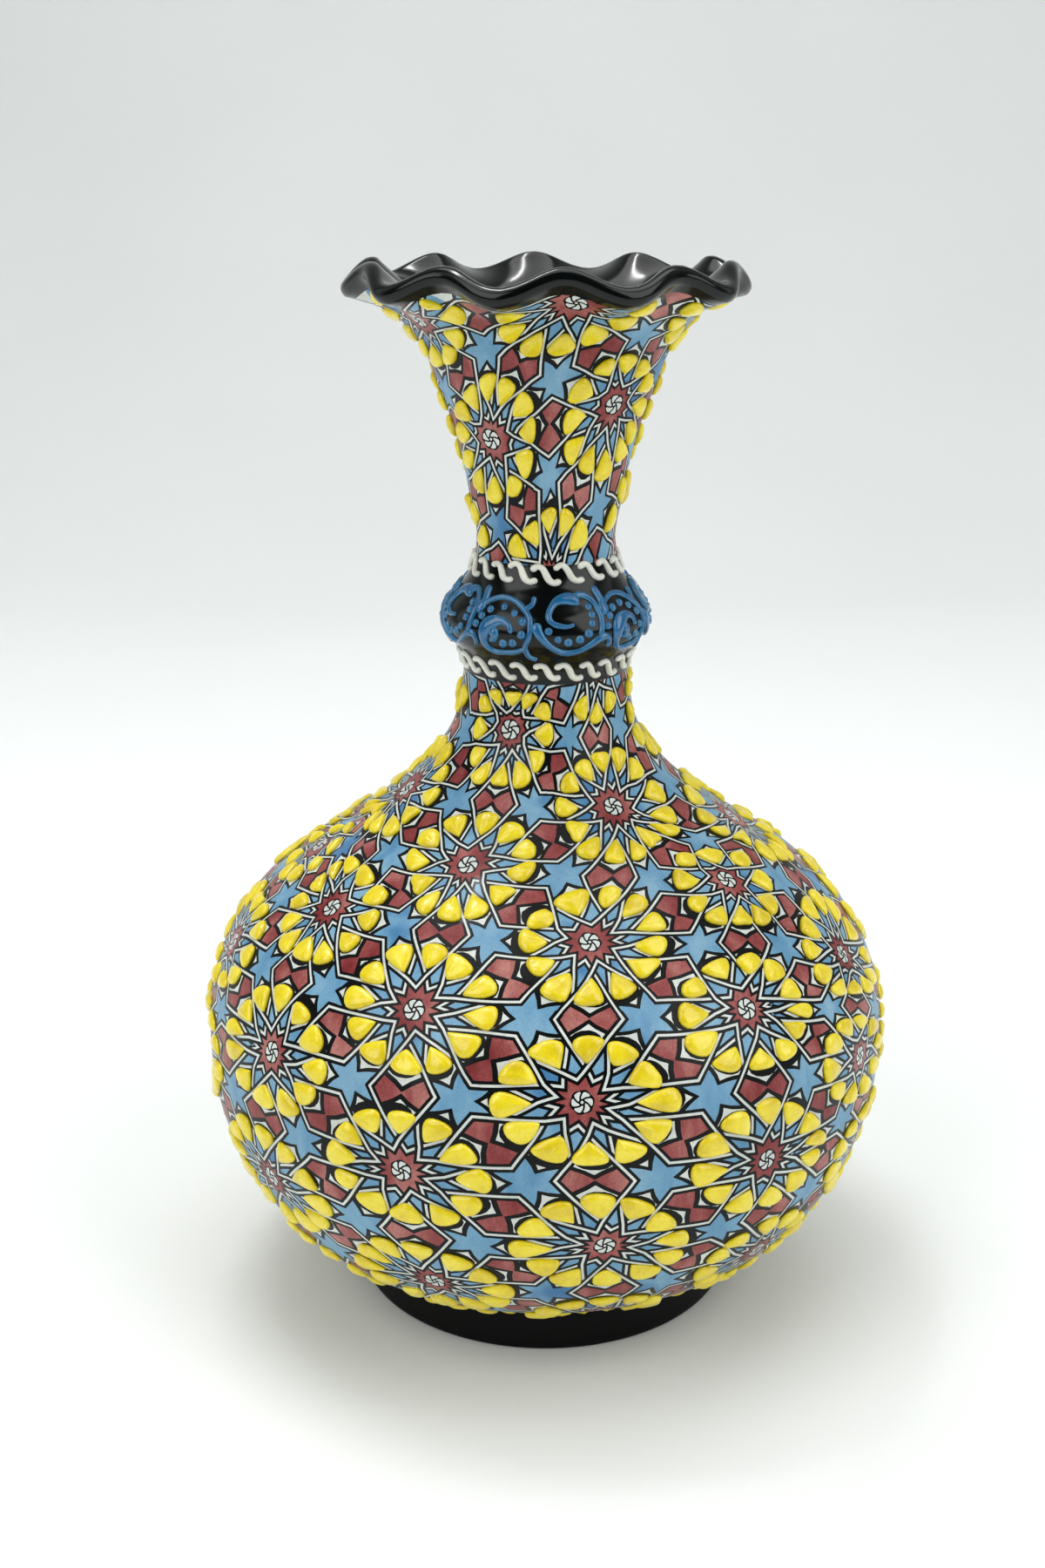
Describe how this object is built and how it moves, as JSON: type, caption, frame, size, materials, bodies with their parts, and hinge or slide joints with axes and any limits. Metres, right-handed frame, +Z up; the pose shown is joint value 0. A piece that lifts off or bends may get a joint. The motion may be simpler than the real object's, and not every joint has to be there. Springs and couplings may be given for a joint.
{
  "type": "bottle vase",
  "caption": "Round-bodied ceramic bottle vase with a foot ring, a beaded collar, a trumpet neck, a crimped lip and raised enamel ornament.",
  "frame": {"origin": "middle of the foot ring's flat underside, on the table", "axes": "+Z up the vase's axis; -Y is the front, which the reference view faces"},
  "size_m": [0.1677, 0.1685, 0.2501],
  "materials": {
    "black_glaze": "glossy black glaze",
    "patterned_glaze": "glossy clear glaze over a blue, maroon, white and black star pattern",
    "yellow_enamel": "raised glossy yellow enamel",
    "white_enamel": "raised glossy white enamel",
    "blue_enamel": "raised glossy blue enamel"
  },
  "bodies": {
    "root": {"foot_ring": "black_glaze", "globe": "patterned_glaze", "collar": "black_glaze", "neck": "patterned_glaze", "crimped_lip": "black_glaze", "belly_petals": "yellow_enamel", "shoulder_petals": "yellow_enamel", "neck_petals": "yellow_enamel", "lower_meander": "white_enamel", "upper_meander": "white_enamel", "collar_scrolls": "blue_enamel", "collar_dots": "blue_enamel"}
  },
  "joints": []
}
